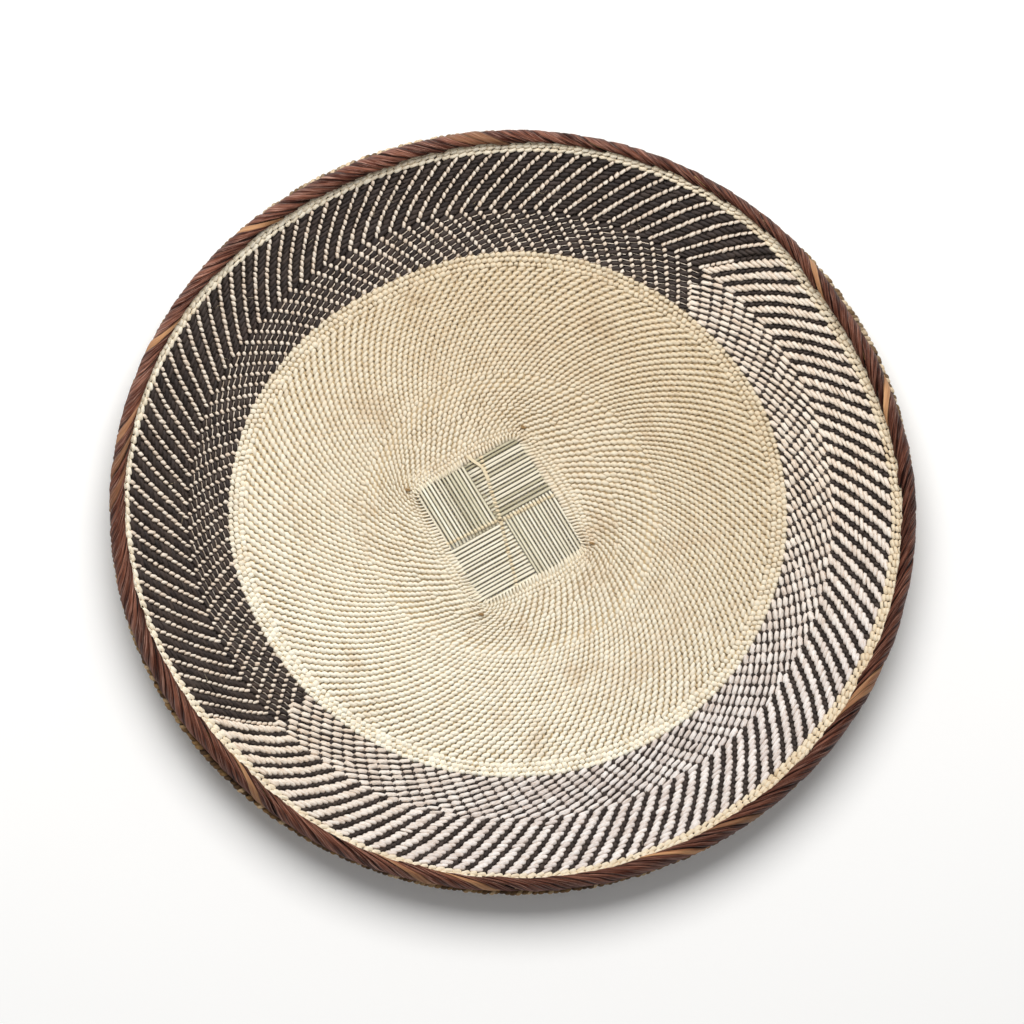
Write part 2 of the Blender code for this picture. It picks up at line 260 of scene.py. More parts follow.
def splint_bundle(name, quarter_turns, half_length, pitch, count, tints, material):
    """Ribs side by side that dip under one crossing bundle and lie over the other."""
    reach = half_length + SPLINT_TAIL
    under = half_length + TURN_RUN
    along = np.concatenate([[-reach, -under, -half_length, -half_length / 2],
                            TURN_RUN * np.array([-1.0, -0.5, 0.0, 0.5, 1.0]),
                            half_length * np.array([0.4, 0.7, 1.0]), [under, reach]])
    level = SPLINT_LEVEL * np.clip(along / TURN_RUN * 2, -1, 1) * (np.abs(along) < under)
    around = np.radians(np.array([-90, -62, -30, 0, 30, 62, 90, 180]))
    section_across = np.sin(around)
    section_up = np.where(np.abs(around) > 3, -0.9, 1.1 * np.cos(around) - 0.1)
    section_across[-1] = 0.0
    widths = (pitch - SPLINT_SPLIT) * chance.uniform(*SPLINT_WIDTHS, count)
    middles = BUNDLE_GAP / 2 + (np.arange(count) + 0.5) * pitch
    wander = SPLINT_WOBBLE * chance.normal(size=(count, len(along))).cumsum(axis=1)
    sideways = (middles[:, None] + wander)[:, :, None] + each(widths) / 2 * section_across
    lift = chance.uniform(-SPLINT_LIFT, SPLINT_LIFT, count)
    thickness = SPLINT_THICKNESS * chance.uniform(*SPLINT_THICKNESSES, count)
    height = level[None, :, None] + each(lift) + each(thickness) / 2 * section_up
    lengthways = np.broadcast_to(along[None, :, None], sideways.shape)
    for _ in range(quarter_turns):
        lengthways, sideways = -sideways, lengthways
    points = block_to_plate(lengthways, sideways, height)
    lie = lie_of(points, along[None, :, None] * 1000, section_across,
                 each(chance.uniform(*tints, size=count)))
    bundle = strands(name + "_ribs", points, lie, material, "green_straw", closed=True)
    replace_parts(bundle, name)


straw, straw_shader, nodes = new_material("split_rib", 0.5)
streaks = fibres(nodes, 0.12, 3.4)
rib_tints = nodes.node("ValToRGB", {"stops": [
    (0.0, colour(186, 178, 148)), (0.3, colour(222, 214, 188)), (0.6, colour(242, 234, 212)),
    (1.0, colour(253, 247, 228))]}, {"Fac": carried(nodes, "number")})
streaked = nodes.shade(streaks.spread(0.42, 0.72) * 0.5, rib_tints, colour(200, 192, 164))
facing = nodes.node("NewGeometry", {}, {}, "Normal")
facing_up = nodes.node("VectorMath", {"operation": "DOT_PRODUCT"}, {0: facing, 1: (0, 0, 1)}, "Value")
# Painted shade: where a rib lies under the crossing bundle, its upper face is painted darker.
under_bundle_shade = (0 - carried(nodes, "along")).spread(1.0, 2.6) * facing_up.spread(0.0, 0.3)
under_bundle_shaded = nodes.shade(under_bundle_shade * 0.6, streaked, colour(134, 115, 72))
# Painted shade: the flanks of each rib are painted dark brown, for the shade in the gaps between ribs.
straw_tint = nodes.shade(flank(nodes, 0.36, 0.92) * 0.9, under_bundle_shaded, colour(84, 68, 40))
finish(nodes, straw_shader, straw_tint, streaks, 0.00012)

CROSS_SHAPE = (BLOCK_HALF_WIDTH, CROSS_PITCH, CROSS_SPLINTS)
LONG_SHAPE = (BLOCK_HALF_LENGTH, LONG_PITCH, LONG_SPLINTS)
splint_bundle("cross_splints_upper", 0, *CROSS_SHAPE, (0.0, 0.75), straw)
splint_bundle("long_splints_left", 1, *LONG_SHAPE, (0.2, 1.0), straw)
splint_bundle("cross_splints_lower", 2, *CROSS_SHAPE, (0.7, 1.0), straw)
splint_bundle("long_splints_right", 3, *LONG_SHAPE, (0.45, 1.0), straw)


# The stakes: several hundred thin ribs that fan out under the courses, from the block to the rim.
# More of them are put in where the plate widens. They show only as dots between the strands.
FLOOR_RADIUS = 0.14075
BEND_RADIUS = 0.106
WALL_SLOPE = math.radians(30)
STAKE_HALF_THICKNESS = 0.0005
FIELD_START = 0.0830
FINE_END = 0.1552
RIM_PLACE = 0.21875
INNER_STAKES = 352
OUTER_STAKES = 544
STAKE_COVER = 0.99
STAKE_JITTER = 0.08
STAKE_TUCK = 0.008
STAKE_LAP = 0.001


def wall(radius):
    """Height of the stakes and slope of the wall at a plan radius: floor, bend and straight wall."""
    bend_end = FLOOR_RADIUS + BEND_RADIUS * math.sin(WALL_SLOPE)
    slope = np.arcsin(np.clip((radius - FLOOR_RADIUS) / BEND_RADIUS, 0, math.sin(WALL_SLOPE)))
    height = STAKE_LEVEL + BEND_RADIUS * (1 - np.cos(slope))
    height = height + np.maximum(radius - bend_end, 0) * math.tan(WALL_SLOPE)
    return height, slope


def on_wall(x, y, depth):
    """Point at a plan place, set off from the stakes towards the front by a depth."""
    radius = np.hypot(x, y)
    height, slope = wall(radius)
    inward = -np.sin(slope) / np.maximum(radius, 1e-9)
    return np.stack([x + depth * inward * x, y + depth * inward * y,
                     height + depth * np.cos(slope)], axis=-1)


def round_plan(radius, angle):
    """Plan point at a radius and an angle."""
    return radius * np.cos(angle), radius * np.sin(angle)


def set_round(count, jitter):
    """Angles of strands that are set side by side round the plate, a little unevenly."""
    return (np.arange(count) + chance.uniform(-jitter, jitter, count)) * math.tau / count


def stake_fan(name, count, inner, outer, material, plan=round_plan):
    """Thin ribs side by side, from one plan radius to another."""
    radii = np.linspace(inner, outer, 9)
    middles = set_round(count, STAKE_JITTER)
    half = STAKE_COVER * math.tau / count / 2
    section_across = np.array([-1.0, 0.0, 1.0, 0.0])
    section_up = np.array([0.0, 1.0, 0.0, -1.0])
    angles = each(middles) + half * section_across
    radius = np.broadcast_to(radii[None, :, None], (count, len(radii), 4))
    points = on_wall(*plan(radius, angles), STAKE_HALF_THICKNESS * section_up)
    lie = lie_of(points, radius * 1000, section_across)
    return strands(name, points, lie, material, "green_straw", closed=True)


shaded_straw, shaded_straw_shader, nodes = new_material("stake_rib", 0.7)
# They are pale under the field, which ends 152 to 157 mm out, and dark under the band.
under_band = carried(nodes, "along").spread(152, 157)
stake_tint = nodes.blend(under_band, colour(206, 184, 146), colour(58, 48, 42))
finish(nodes, shaded_straw_shader,
       nodes.shade(fibres(nodes, 0.3, 3).spread(0.4, 0.7) * 0.5, stake_tint, colour(136, 112, 80)))
FANS = (
    ("stakes_in_the_field", INNER_STAKES, FIELD_START - STAKE_TUCK, FINE_END, range(1, 11)),
    ("stakes_in_the_wall", OUTER_STAKES, FINE_END - STAKE_LAP, RIM_PLACE, range(11, 21)),
)
for name, count, inner, outer, replaced in FANS:
    fan = stake_fan(name, count, inner, outer, shaded_straw)
    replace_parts(fan, *[f"stake_{number:02d}" for number in replaced])


# The first courses: palm strips twined round the block, whose stitches start square with it.
# The first row ties down each rib, and the rows grow round as they leave the corners. Thin
# stakes run out under them.
FACES = (("front", 1), ("back", -1))
COURSE_BASE = 0.00035
COURSE_TOP = 0.00205
LEAST_LIFT = 0.0001
BLOCK_EDGE = 0.0350
ROUND_FROM = 0.084
TIE_LENGTH = 0.0048
TIE_COUNTS = (136,)
TIE_SHARES = (0.9384, 1.0, 0.0)
TIE_TUCK = 0.16
TIE_TURN = 0.85
START_PLACE = 0.8
START_COUNTS = (136,) * 2 + (92,) * 6 + (120,) * 8
START_SHARES = (0.96, 1.04, 0.62)
CORNER_POWERS = (14, 2)
STITCH_SKEW = 0.40
STITCH_RINGS = np.array([-1.0, -0.88, -0.5, 0.5, 0.88, 1.0])
STITCH_SIDES = np.array([-1.0, -0.62, 0.0, 0.62, 1.0])
# How much single stitches differ from each other.
RISE_SPREAD = 0.12
LENGTH_SPREAD = 0.06
WIDTH_SPREAD = 0.07
PEAK_SPREAD = 0.09
LEAN_SPREAD = 0.05
ROLL_SPREAD = 0.10
# Slow waves of the courses: size, times round, twist with the radius, and start.
COURSE_WAVES = ((0.00028, 5, 0, 2.1), (0.00016, 11, 260, 0))
WANDER_FROM = 0.185
WANDER_FULL = 0.2115
FIELD_EDGE_FROM = (0.112, 0.148)
FIELD_EDGE_TO = (0.162, 0.192)
# How far the courses lie outwards, in millimetres, by degrees clockwise from +X.
BAND_WANDER = (
    (0, 0.3), (20, 0.3), (45, -1.5), (58, -0.8), (75, 0.9), (90, 1.5), (110, 1.5), (120, 0.5),
    (130, -1.8), (139, -4.2), (148, -2.2), (160, 0.8), (180, 2.6), (200, 2.6), (222, 0.0), (236, -2.0),
    (250, -1.9), (268, -0.2), (280, 1.9), (300, 2.9), (311, 1.2), (319, -2.0), (329, -4.0), (342, -2.4))
FIELD_WANDER = (
    (0, 0.0), (150, 0.0), (165, 2.0), (180, 2.9), (195, 2.3), (210, 1.7), (225, 0.0), (240, -2.8),
    (255, -1.7), (270, -0.2), (285, 1.3), (300, 0.3), (320, 0.0))


def along_rim(angle, table):
    """Value of a table at an angle that runs counter-clockwise, evened out over a few degrees."""
    places, values = np.array([*table, (table[0][0] + 360, table[0][1])]).T
    clockwise = np.degrees(-angle)
    return sum(np.interp((clockwise + step) % 360, places, values) for step in (-4, 0, 4)) / 3


def eased(value, low, high):
    """0 below low and 1 above high, with a soft step between."""
    share = np.clip((value - low) / (high - low), 0, 1)
    return share * share * (3 - 2 * share)


def course_plan(radius, angle):
    """Plan point of a course, square with the block at its edge and round from ROUND_FROM on.

    Near the rim the courses wander in and out as the hoops do, and round the field's edge a little
    by themselves.
    """
    share = np.clip((radius - BLOCK_EDGE) / (ROUND_FROM - BLOCK_EDGE), 0, 1)
    power = CORNER_POWERS[1] + (CORNER_POWERS[0] - CORNER_POWERS[1]) * (1 - share) ** 2
    square = (np.abs(np.cos(angle) / BLOCK_HALF_WIDTH) ** power
              + np.abs(np.sin(angle) / BLOCK_HALF_LENGTH) ** power) ** (-1 / power)
    turned = angle + BLOCK_TURN
    wander = eased(radius, WANDER_FROM, WANDER_FULL) * along_rim(turned, BAND_WANDER)
    near_field_edge = eased(radius, *FIELD_EDGE_FROM) - eased(radius, *FIELD_EDGE_TO)
    wander = 0.001 * (wander + near_field_edge * along_rim(turned, FIELD_WANDER))
    reach = (1 - share) * square + share * np.maximum(radius, ROUND_FROM) + wander
    x = BLOCK_PLACE[0] * (1 - share) + reach * np.cos(turned)
    y = BLOCK_PLACE[1] * (1 - share) + reach * np.sin(turned)
    return x, y


def stitch_set(count, **values):
    """Some stitches with all their values. One that they share is repeated for each."""
    return {key: np.broadcast_to(value, count).astype(float) for key, value in values.items()}


def course_rows(inner, outer, counts, shares, shift=0.5):
    """Rows side by side between two radii, their stitches evenly spaced and every second row shifted.

    counts is the number of stitches in each row. shares says how much of its place a stitch
    fills, along the course and across it, and how far it climbs in a row's height.
    """
    pitch = (outer - inner) / len(counts)
    turn = np.linspace(0, math.tau, 1441)
    rows = []
    for course, count in enumerate(counts):
        radius = inner + (course + 0.5) * pitch
        x, y = course_plan(radius, turn)
        reached = np.concatenate([[0], np.cumsum(np.hypot(np.diff(x), np.diff(y)))])
        place = reached[-1] / count
        angle = np.interp((np.arange(count) + course % 2 * shift) * place, reached, turn)
        rows.append(stitch_set(count, radius=radius, angle=angle, length=place * shares[0],
                               width=pitch * shares[1], rise=pitch * shares[2], dye=0.0))
    return rows


def joined(rows):
    """Several rows as one set of stitches."""
    return {key: np.concatenate([row[key] for row in rows]) for key in rows[0]}


def stitches(name, row, side, material, slot, skew=0.0, upright=0.0, uneven=1.0):
    """Every stitch of a set as a rounded strip that comes up beside one stake and goes down past the next.

    side is 1 on the front and -1 on the back. upright is the share by which the stitches stand
    across the course instead of along it. skew turns their ends towards the radius.
    """
    count = len(row["radius"])
    radius = row["radius"]
    angle = row["angle"]
    step = 0.0005
    x, y = course_plan(radius, angle)
    x_on, y_on = course_plan(radius, angle + step)
    x_out, y_out = course_plan(radius + step, angle)
    tangent = np.stack([x_on - x, y_on - y], axis=-1)
    tangent /= np.linalg.norm(tangent, axis=-1, keepdims=True)
    crowding = np.abs((x_out - x) * tangent[:, 1] - (y_out - y) * tangent[:, 0]) / step

    wave = sum(size * np.sin(times * angle + twist * radius + start)
               for size, times, twist, start in COURSE_WAVES)
    x = x + wave * tangent[:, 1]
    y = y - wave * tangent[:, 0]
    place = on_wall(x, y, 0)
    slope = wall(np.hypot(x, y))[1]
    out = np.stack([x, y], axis=-1) / np.hypot(x, y)[:, None]
    normal = np.stack([-np.sin(slope) * out[:, 0], -np.sin(slope) * out[:, 1], np.cos(slope)], axis=-1)
    along = np.concatenate([tangent, np.zeros((count, 1))], axis=-1)
    outward = np.cross(along, normal)

    def vary(amount):
        return 1 + uneven * amount * np.clip(chance.normal(size=count), -2.2, 2.2)

    rise = row["rise"] * crowding * vary(RISE_SPREAD)
    half_length = np.hypot(row["length"] * vary(LENGTH_SPREAD), rise) / 2
    half_width = row["width"] * crowding * vary(WIDTH_SPREAD) / 2
    lean = np.arctan2(rise, row["length"]) + upright * math.pi / 2 * TIE_TURN
    lean = lean + uneven * chance.normal(size=count) * LEAN_SPREAD
    peak = (COURSE_TOP - COURSE_BASE) * vary(PEAK_SPREAD)
    roll = uneven * chance.normal(size=count) * ROLL_SPREAD

    # A strip has blunt ends that are tucked down, and a rounded back.
    ring = STITCH_RINGS[None, :, None]
    across = STITCH_SIDES[None, None, :]
    taper = np.sqrt(1.04 - np.abs(ring) ** 8)
    arch = (1 - np.abs(ring) ** 3.0) * 0.92 + 0.08
    crown = (np.sqrt(1 - 0.92 * np.abs(across) ** 2.6) - 0.28) / 0.72
    long_place = ring * each(half_length) * np.ones(len(STITCH_SIDES))
    cross_place = across * taper * each(half_width)
    lift = COURSE_BASE + each(peak) * arch * crown
    lift = np.maximum(lift + each(roll) * cross_place, LEAST_LIFT)

    clockwise = -side
    lean = each(lean)
    along_part = clockwise * np.cos(lean) * long_place + np.sin(lean - skew) * cross_place
    out_part = np.sin(lean) * long_place - clockwise * np.cos(lean - skew) * cross_place
    points = (place[:, None, None, :] + along_part[..., None] * along[:, None, None, :]
              + out_part[..., None] * outward[:, None, None, :]
              + side * lift[..., None] * normal[:, None, None, :])
    if side < 0:
        points = points[:, :, ::-1, :]
    lie = lie_of(points, long_place * 1000, across)
    return strands(name, points, lie, material, slot, dye=each(row["dye"]), end=np.abs(ring))


TUCKED_SHADE = colour(150, 120, 86)
SIDE_SHADE_TINT = colour(233, 223, 209)
SIDE_SHADE_WAY = (0.42, 0.91, 0.0)
SIDE_SHADE_REACH = 0.10


def tucked(nodes):
    """How far a place lies down the flank or the end of its stitch, from 0 to 1."""
    end = carried(nodes, "end")
    return nodes.sum("MAXIMUM", flank(nodes, 0.42, 0.98), (end * end).spread(0.70, 1.0))


def towards(nodes, way, low, high):
    """How far a place lies towards one side of the plate: 0 at low, 1 at high, in metres."""
    where = nodes.node("TexCoord", {}, {}, "Object")
    reach = nodes.node("VectorMath", {"operation": "DOT_PRODUCT"}, {0: where, 1: way}, "Value")
    return reach.spread(low, high)


def blotches(nodes, scale, detail, roughness=0.5):
    """Noise that crosses the strands, as stains do."""
    where = nodes.node("TexCoord", {}, {}, "Object")
    return nodes.node("TexNoise", {}, {"Vector": where, "Scale": scale, "Detail": detail,
                                       "Roughness": roughness})


def palm(name, light, deep, stain, side_shade_way=SIDE_SHADE_WAY):
    """Matt palm strip: a tint for each strand, drawn-out fibres, stains that cross the strands, and painted
    shade.
    """
    material, shader, nodes = new_material(name, 0.62)
    grain = fibres(nodes, 0.5, 2.6)
    coarse = fibres(nodes, 0.16, 0.9)
    tint = nodes.blend(carried(nodes, "number"), light, deep)
    tint = nodes.shade(blotches(nodes, 30.0, 4.0, 0.65).spread(0.54, 0.80) * 0.40, tint, stain)
    tint = nodes.shade(grain.spread(0.50, 0.78) * 0.36, tint, stain)
    tint = nodes.shade(blotches(nodes, 420.0, 2.0).spread(0.64, 0.76) * 0.35, tint, stain)
    # Painted shade: the palm is painted darker towards one side of the plate, as the light falls there.
    side_shade = towards(nodes, side_shade_way, -SIDE_SHADE_REACH, SIDE_SHADE_REACH)
    tint = nodes.shade(side_shade, tint, SIDE_SHADE_TINT)
    # Painted shade: the flanks and ends of the stitches are painted brown, more so on the shaded side.
    tint = nodes.shade(tucked(nodes) * (0.05 + 0.58 * side_shade), tint, TUCKED_SHADE)
    finish(nodes, shader, tint, grain * 0.6 + coarse * 0.6, 0.00022)
    return material


natural = palm("natural_palm", colour(254, 250, 235), colour(252, 244, 225), colour(206, 172, 130))

tie_start = BLOCK_EDGE - TIE_LENGTH * TIE_TUCK
tie_row = joined(course_rows(tie_start, tie_start + TIE_LENGTH, TIE_COUNTS, TIE_SHARES))
# A tie stands across its row, so that its length and width change places.
tie_row["length"], tie_row["width"] = tie_row["width"], tie_row["length"]
start_rows = course_rows(BLOCK_EDGE + TIE_LENGTH * START_PLACE, FIELD_START, START_COUNTS, START_SHARES)
stake_fan("stakes_by_the_block", INNER_STAKES, BLOCK_EDGE + TURN_RUN, FIELD_START, shaded_straw,
          course_plan)
for face, side in FACES:
    stitches("first_ties_" + face, tie_row, side, natural, "natural_palm", upright=1.0)
    start_courses = stitches("start_stitches_" + face, joined(start_rows), side, natural, "natural_palm",
                             skew=STITCH_SKEW)
    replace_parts(start_courses, "start_courses_" + face)


# The ties over the seams of the block: a pale strand caught once over every rib it crosses.
# One strip has worked loose and lies bent across the ribs at the upper seam.
SEAM_BEAD = 0.0026
SEAM_BEAD_WIDTH = 0.0018
SEAM_BEAD_HEIGHT = 0.0013
SEAM_BEAD_JITTER = 0.00008
SEAM_BEAD_LEAN = 0.09
FRONT_BEADS = SPLINT_LEVEL - 0.0001
BACK_BEADS = -0.0016
LOOSE_STRIP_WIDTH = 0.0021
LOOSE_STRIP_THICKNESS = 0.00025
LOOSE_STRIP_CROWN = 0.00012
LOOSE_STRIP_LENGTH = 18
LOOSE_STRIP = ((-0.0250, 0.0330), (-0.0206, 0.0294), (-0.0160, 0.0268),
               (-0.0142, 0.0230), (-0.0120, 0.0186))
LOOSE_STRIP_RISE = (0.0024, 0.0021, 0.0020, 0.0017, 0.0013)
LOOSE_STRIP_SHARES = (0.8, 1.0, 0.75, 1.0, 1.0)


def bead_row(start, end, count, level, turned):
    """Small caught loops in a row on the block, from one place to another."""
    share = (np.arange(count) + 0.5) / count
    u = start[0] + (end[0] - start[0]) * share + SEAM_BEAD_JITTER * chance.normal(size=count)
    v = start[1] + (end[1] - start[1]) * share + SEAM_BEAD_JITTER * chance.normal(size=count)
    lean = turned + SEAM_BEAD_LEAN * chance.normal(size=count)
    ring = STITCH_RINGS[None, :, None]
    across = STITCH_SIDES[None, None, :]
    long_place = ring * SEAM_BEAD / 2 * np.ones((count, 1, len(STITCH_SIDES)))
    cross_place = across * np.sqrt(1.04 - np.abs(ring) ** 3) * SEAM_BEAD_WIDTH / 2 * np.ones((count, 1, 1))
    lift = level + SEAM_BEAD_HEIGHT * (1 - np.abs(ring) ** 2.4) * np.sqrt(1.02 - across ** 2)
    cos = each(np.cos(lean))
    sin = each(np.sin(lean))
    points = block_to_plate(each(u) + cos * long_place - sin * cross_place,
                            each(v) + sin * long_place + cos * cross_place,
                            np.broadcast_to(lift, long_place.shape))
    return points, lie_of(points, long_place * 1000, across)


pale = palm("pale_palm", colour(252, 242, 214), colour(244, 228, 194), colour(206, 176, 134))
seams = [
    bead_row((0.0, 0.0), (0.0097, BLOCK_HALF_LENGTH), CROSS_SPLINTS + 1, FRONT_BEADS, -0.20),
    bead_row((-0.0004, -0.0012), (-0.0118, -BLOCK_HALF_LENGTH), CROSS_SPLINTS, FRONT_BEADS, -0.20),
    bead_row((0.0014, -0.0006), (BLOCK_HALF_WIDTH, -0.0022), LONG_SPLINTS, FRONT_BEADS, 1.50),
    bead_row((-0.0014, 0.0006), (-BLOCK_HALF_WIDTH, 0.0026), LONG_SPLINTS, FRONT_BEADS, 1.50),
    bead_row((0.0, -BLOCK_HALF_LENGTH), (0.0, BLOCK_HALF_LENGTH), 2 * CROSS_SPLINTS, BACK_BEADS, 0.0),
    bead_row((-BLOCK_HALF_WIDTH, 0.0), (BLOCK_HALF_WIDTH, 0.0), 2 * LONG_SPLINTS, BACK_BEADS, 1.57),
]
binding = strands("seam_ties", np.concatenate([points for points, lie in seams]),
                  np.concatenate([lie for points, lie in seams]), pale, "pale_palm")
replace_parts(binding, "block_binding")

strip_path = np.array(LOOSE_STRIP)
strip_way = np.gradient(strip_path, axis=0)
strip_way /= np.linalg.norm(strip_way, axis=1, keepdims=True)
strip_across = np.linspace(-1, 1, 5)
strip_half = LOOSE_STRIP_WIDTH / 2 * np.array(LOOSE_STRIP_SHARES)[:, None]
strip_x = strip_path[:, 0, None] - strip_way[:, 1, None] * strip_across * strip_half
strip_y = strip_path[:, 1, None] + strip_way[:, 0, None] * strip_across * strip_half
strip_rise = np.array(LOOSE_STRIP_RISE)[:, None]
strip_height = STAKE_LEVEL + strip_rise + LOOSE_STRIP_CROWN * (1 - strip_across ** 2)
strip_points = np.stack([strip_x, strip_y / OVAL, strip_height], axis=-1)[None]
strip_along = np.linspace(0, LOOSE_STRIP_LENGTH, len(LOOSE_STRIP))[:, None]
strip_lie = lie_of(strip_points, strip_along, strip_across * 0.5, 0.2)
loose_strip = strands("loose_strip", strip_points, strip_lie, pale, "pale_palm")
loose_body = loose_strip.modifiers.new("body", "SOLIDIFY")
loose_body.thickness = LOOSE_STRIP_THICKNESS
loose_smooth = loose_strip.modifiers.new("rounded", "SUBSURF")
loose_smooth.levels = 2
loose_smooth.render_levels = 2


# The knots at the corners of the block: ends of brown withy twisted together and tucked in.
# Each is three short turns on a small heap.
KNOT_TURN_RADIUS = 0.0011
KNOT_STRAND = 0.00042
KNOT_TURNS = 3
KNOT_LEVEL = 0.0019
KNOT_HEAP = 0.0007
KNOTS = ((0.0054, 0.0023), (-0.0024, 0.0027), (-0.0041, -0.0042), (0.0037, 0.0008))


def branch(name, roughness, fine_along, fine_across, dark, light):
    """Peeled wood, with its grain along the strand."""
    material, shader, nodes = new_material(name, roughness)
    grain = fibres(nodes, fine_along, fine_across)
    finish(nodes, shader, nodes.blend(grain.spread(0.3, 0.7), dark, light), grain, 0.0002)
    return material


def corner_knot(number, u, v):
    """A small tangle of turns round a corner of the block."""
    stations = np.linspace(0, 1, 40)
    swing = stations * math.tau * KNOT_TURNS + number
    tangle = KNOT_TURN_RADIUS * (0.55 + 0.45 * np.sin(swing * 0.7 + number))
    spine = block_to_plate(u + tangle * np.cos(swing), v + tangle * np.sin(swing * 0.93),
                           KNOT_LEVEL + KNOT_HEAP * np.sin(swing * 0.5) ** 2)
    way = np.gradient(spine, axis=0)
    way /= np.linalg.norm(way, axis=1, keepdims=True)
    beside = np.cross(way, (0, 0, 1.0))
    beside /= np.linalg.norm(beside, axis=1, keepdims=True)
    above = np.cross(beside, way)
    around = np.arange(6) * math.tau / 6
    thick = KNOT_STRAND * np.sin(np.clip(stations * 12, 0.2, math.pi / 2))
    ring = np.cos(around)[:, None] * beside[:, None] + np.sin(around)[:, None] * above[:, None]
    points = (spine[:, None] + thick[:, None, None] * ring)[None]
    lie = lie_of(points, stations[:, None] * 20, np.cos(around), number / len(KNOTS))
    knot = strands(f"knot_{number}", points, lie, knot_brown, "peeled_withy", closed=True)
    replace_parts(knot, f"corner_knot_{number}")


knot_brown = branch("knot_withy", 0.65, 1.2, 3.0, colour(122, 92, 56), colour(186, 152, 104))
for number, (u_out, v_out) in enumerate(KNOTS, start=1):
    corner_knot(number, math.copysign(BLOCK_HALF_WIDTH, u_out) + u_out,
                (BLOCK_HALF_LENGTH if number < 3 else -BLOCK_HALF_LENGTH) + v_out)


# The field: natural palm strips twined over pairs of stakes, each row half a stitch past the last.
# It covers the flat floor and is closed by three fine rows that take one stake at a time.
FIELD_END = 0.1462
FIELD_COUNTS = (176,) * 25
FIELD_SHARES = (0.98, 1.06, 0.66)
FIELD_SPLIT = 12
FINE_COUNTS = (290,) * 3
FINE_SHARES = (0.94, 1.06, 0.40)
field_rows = course_rows(FIELD_START, FIELD_END, FIELD_COUNTS, FIELD_SHARES)
fine_rows = course_rows(FIELD_END, FINE_END, FINE_COUNTS, FINE_SHARES)
# Each face of the field is two meshes.
for face, side in FACES:
    for part, rows in enumerate((field_rows[:FIELD_SPLIT], field_rows[FIELD_SPLIT:]), start=1):
        field = stitches(f"field_stitches_{face}_{part}", joined(rows), side, natural, "natural_palm",
                         skew=STITCH_SKEW)
    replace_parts(field, "field_courses_" + face)
    fine = stitches("fine_stitches_" + face, joined(fine_rows), side, natural, "natural_palm", uneven=1.8)
    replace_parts(fine, "fine_courses_" + face)


# The chevron band: a dark-dyed strip and a pale one twined together, one always passing over more
# stakes than the other. They change places at two seams, and the lean turns over between the zones.
REPEATS = 136
WIDE_SHARE = 0.62
LEAN = 0.25
INNER_BAND_END = 0.1797
OUTER_BAND_END = 0.2115
INNER_BAND_ROWS = 9
OUTER_BAND_ROWS = 13
STREAK_WIDTH = 0.00052
STREAK_WIDTHS = (0.3, 1.1)
STREAK_LENGTHS = (0.55, 1.05)
STREAK_BELOW = 0.52
STREAK_BACK = 0.13
STREAK_RISE = 0.42
BAND_SKEW = 0.30
PAINTED_LIGHT_WAY = (0.45, -0.89, 0.0)
INNER_SEAMS = (50.5, 222.5)
BREAK_SEAMS = (54.0, 224.0)
OUTER_SEAMS = (46.0, 215.4)
INNER_SIZES = (((1.08, 1.06), (1.32, 1.16), 0.85), ((0.47, 0.78), (0.60, 0.84), 0.85))
OUTER_SIZES = (((1.08, 1.06), (1.27, 1.15), 0.85), ((0.49, 0.80), (0.55, 0.88), 1.25))


def band_rows(rows, inner, outer, lean, seams_in, seams_out, sizes, streaked):
    """Stitches of a zone of the band, with which of them lie in its dark half.

    sizes holds the wide strand and the narrow one: the share of its place that a dark stitch and
    a pale one fill, along the course and across it, and how far they climb in a row's height. In
    a streaked zone the hidden strand shows as a thin line under each wide stitch.
    """
    pitch = (outer - inner) / rows
    made = []
    for course in range(rows):
        middle = inner + (course + 0.5) * pitch
        share = (course + 0.5) / rows
        low, high = np.radians(np.array(seams_in) + (np.array(seams_out) - seams_in) * share)
        steps = course - rows - 0.5 if lean > 0 else course + 0.5
        for strand, (strand_share, centre) in enumerate(((WIDE_SHARE, 0.0), (1 - WIDE_SHARE, 0.5))):
            angle = (np.arange(REPEATS) + centre + lean * steps) / REPEATS * math.tau
            dark_half = ((angle - low) % math.tau) < (high - low)
            dye = np.where(dark_half, 1.0 - strand, float(strand))
            size = math.tau * middle / REPEATS * strand_share
            dark_size, pale_size, rise = sizes[strand]
            made.append(stitch_set(
                REPEATS, radius=middle, angle=angle - BLOCK_TURN,
                length=size * np.where(dye > 0.5, dark_size[0], pale_size[0]),
                width=pitch * np.where(dye > 0.5, dark_size[1], pale_size[1]),
                rise=pitch * rise, dye=dye, dark=dark_half))
            if streaked and strand == 0:
                made.append(stitch_set(
                    REPEATS, radius=middle - pitch * STREAK_BELOW,
                    angle=angle - STREAK_BACK * size / middle - BLOCK_TURN,
                    length=size * chance.uniform(*STREAK_LENGTHS, REPEATS),
                    width=STREAK_WIDTH * chance.uniform(*STREAK_WIDTHS, REPEATS),
                    rise=pitch * STREAK_RISE, dye=1 - dye, dark=dark_half))
    return joined(made)


# Pale and dyed palm have one finish, and are told apart by the strand's dye.
band, band_shader, nodes = new_material("band_palm", 0.62)
number = carried(nodes, "number")
dye = carried(nodes, "dye")
grain = fibres(nodes, 0.5, 2.6)
# Painted light: the pale strand is painted whiter and cooler towards the lower right of the plate.
painted_light = towards(nodes, PAINTED_LIGHT_WAY, 0.06, 0.16)
pale_tint = nodes.blend(number, colour(251, 241, 227), colour(240, 224, 206))
painted_light_tint = nodes.blend(number, colour(248, 243, 240), colour(226, 216, 211))
pale_tint = nodes.blend(painted_light, pale_tint, painted_light_tint)
pale_tint = nodes.shade(grain.spread(0.46, 0.72) * 0.65, pale_tint, colour(206, 178, 150))
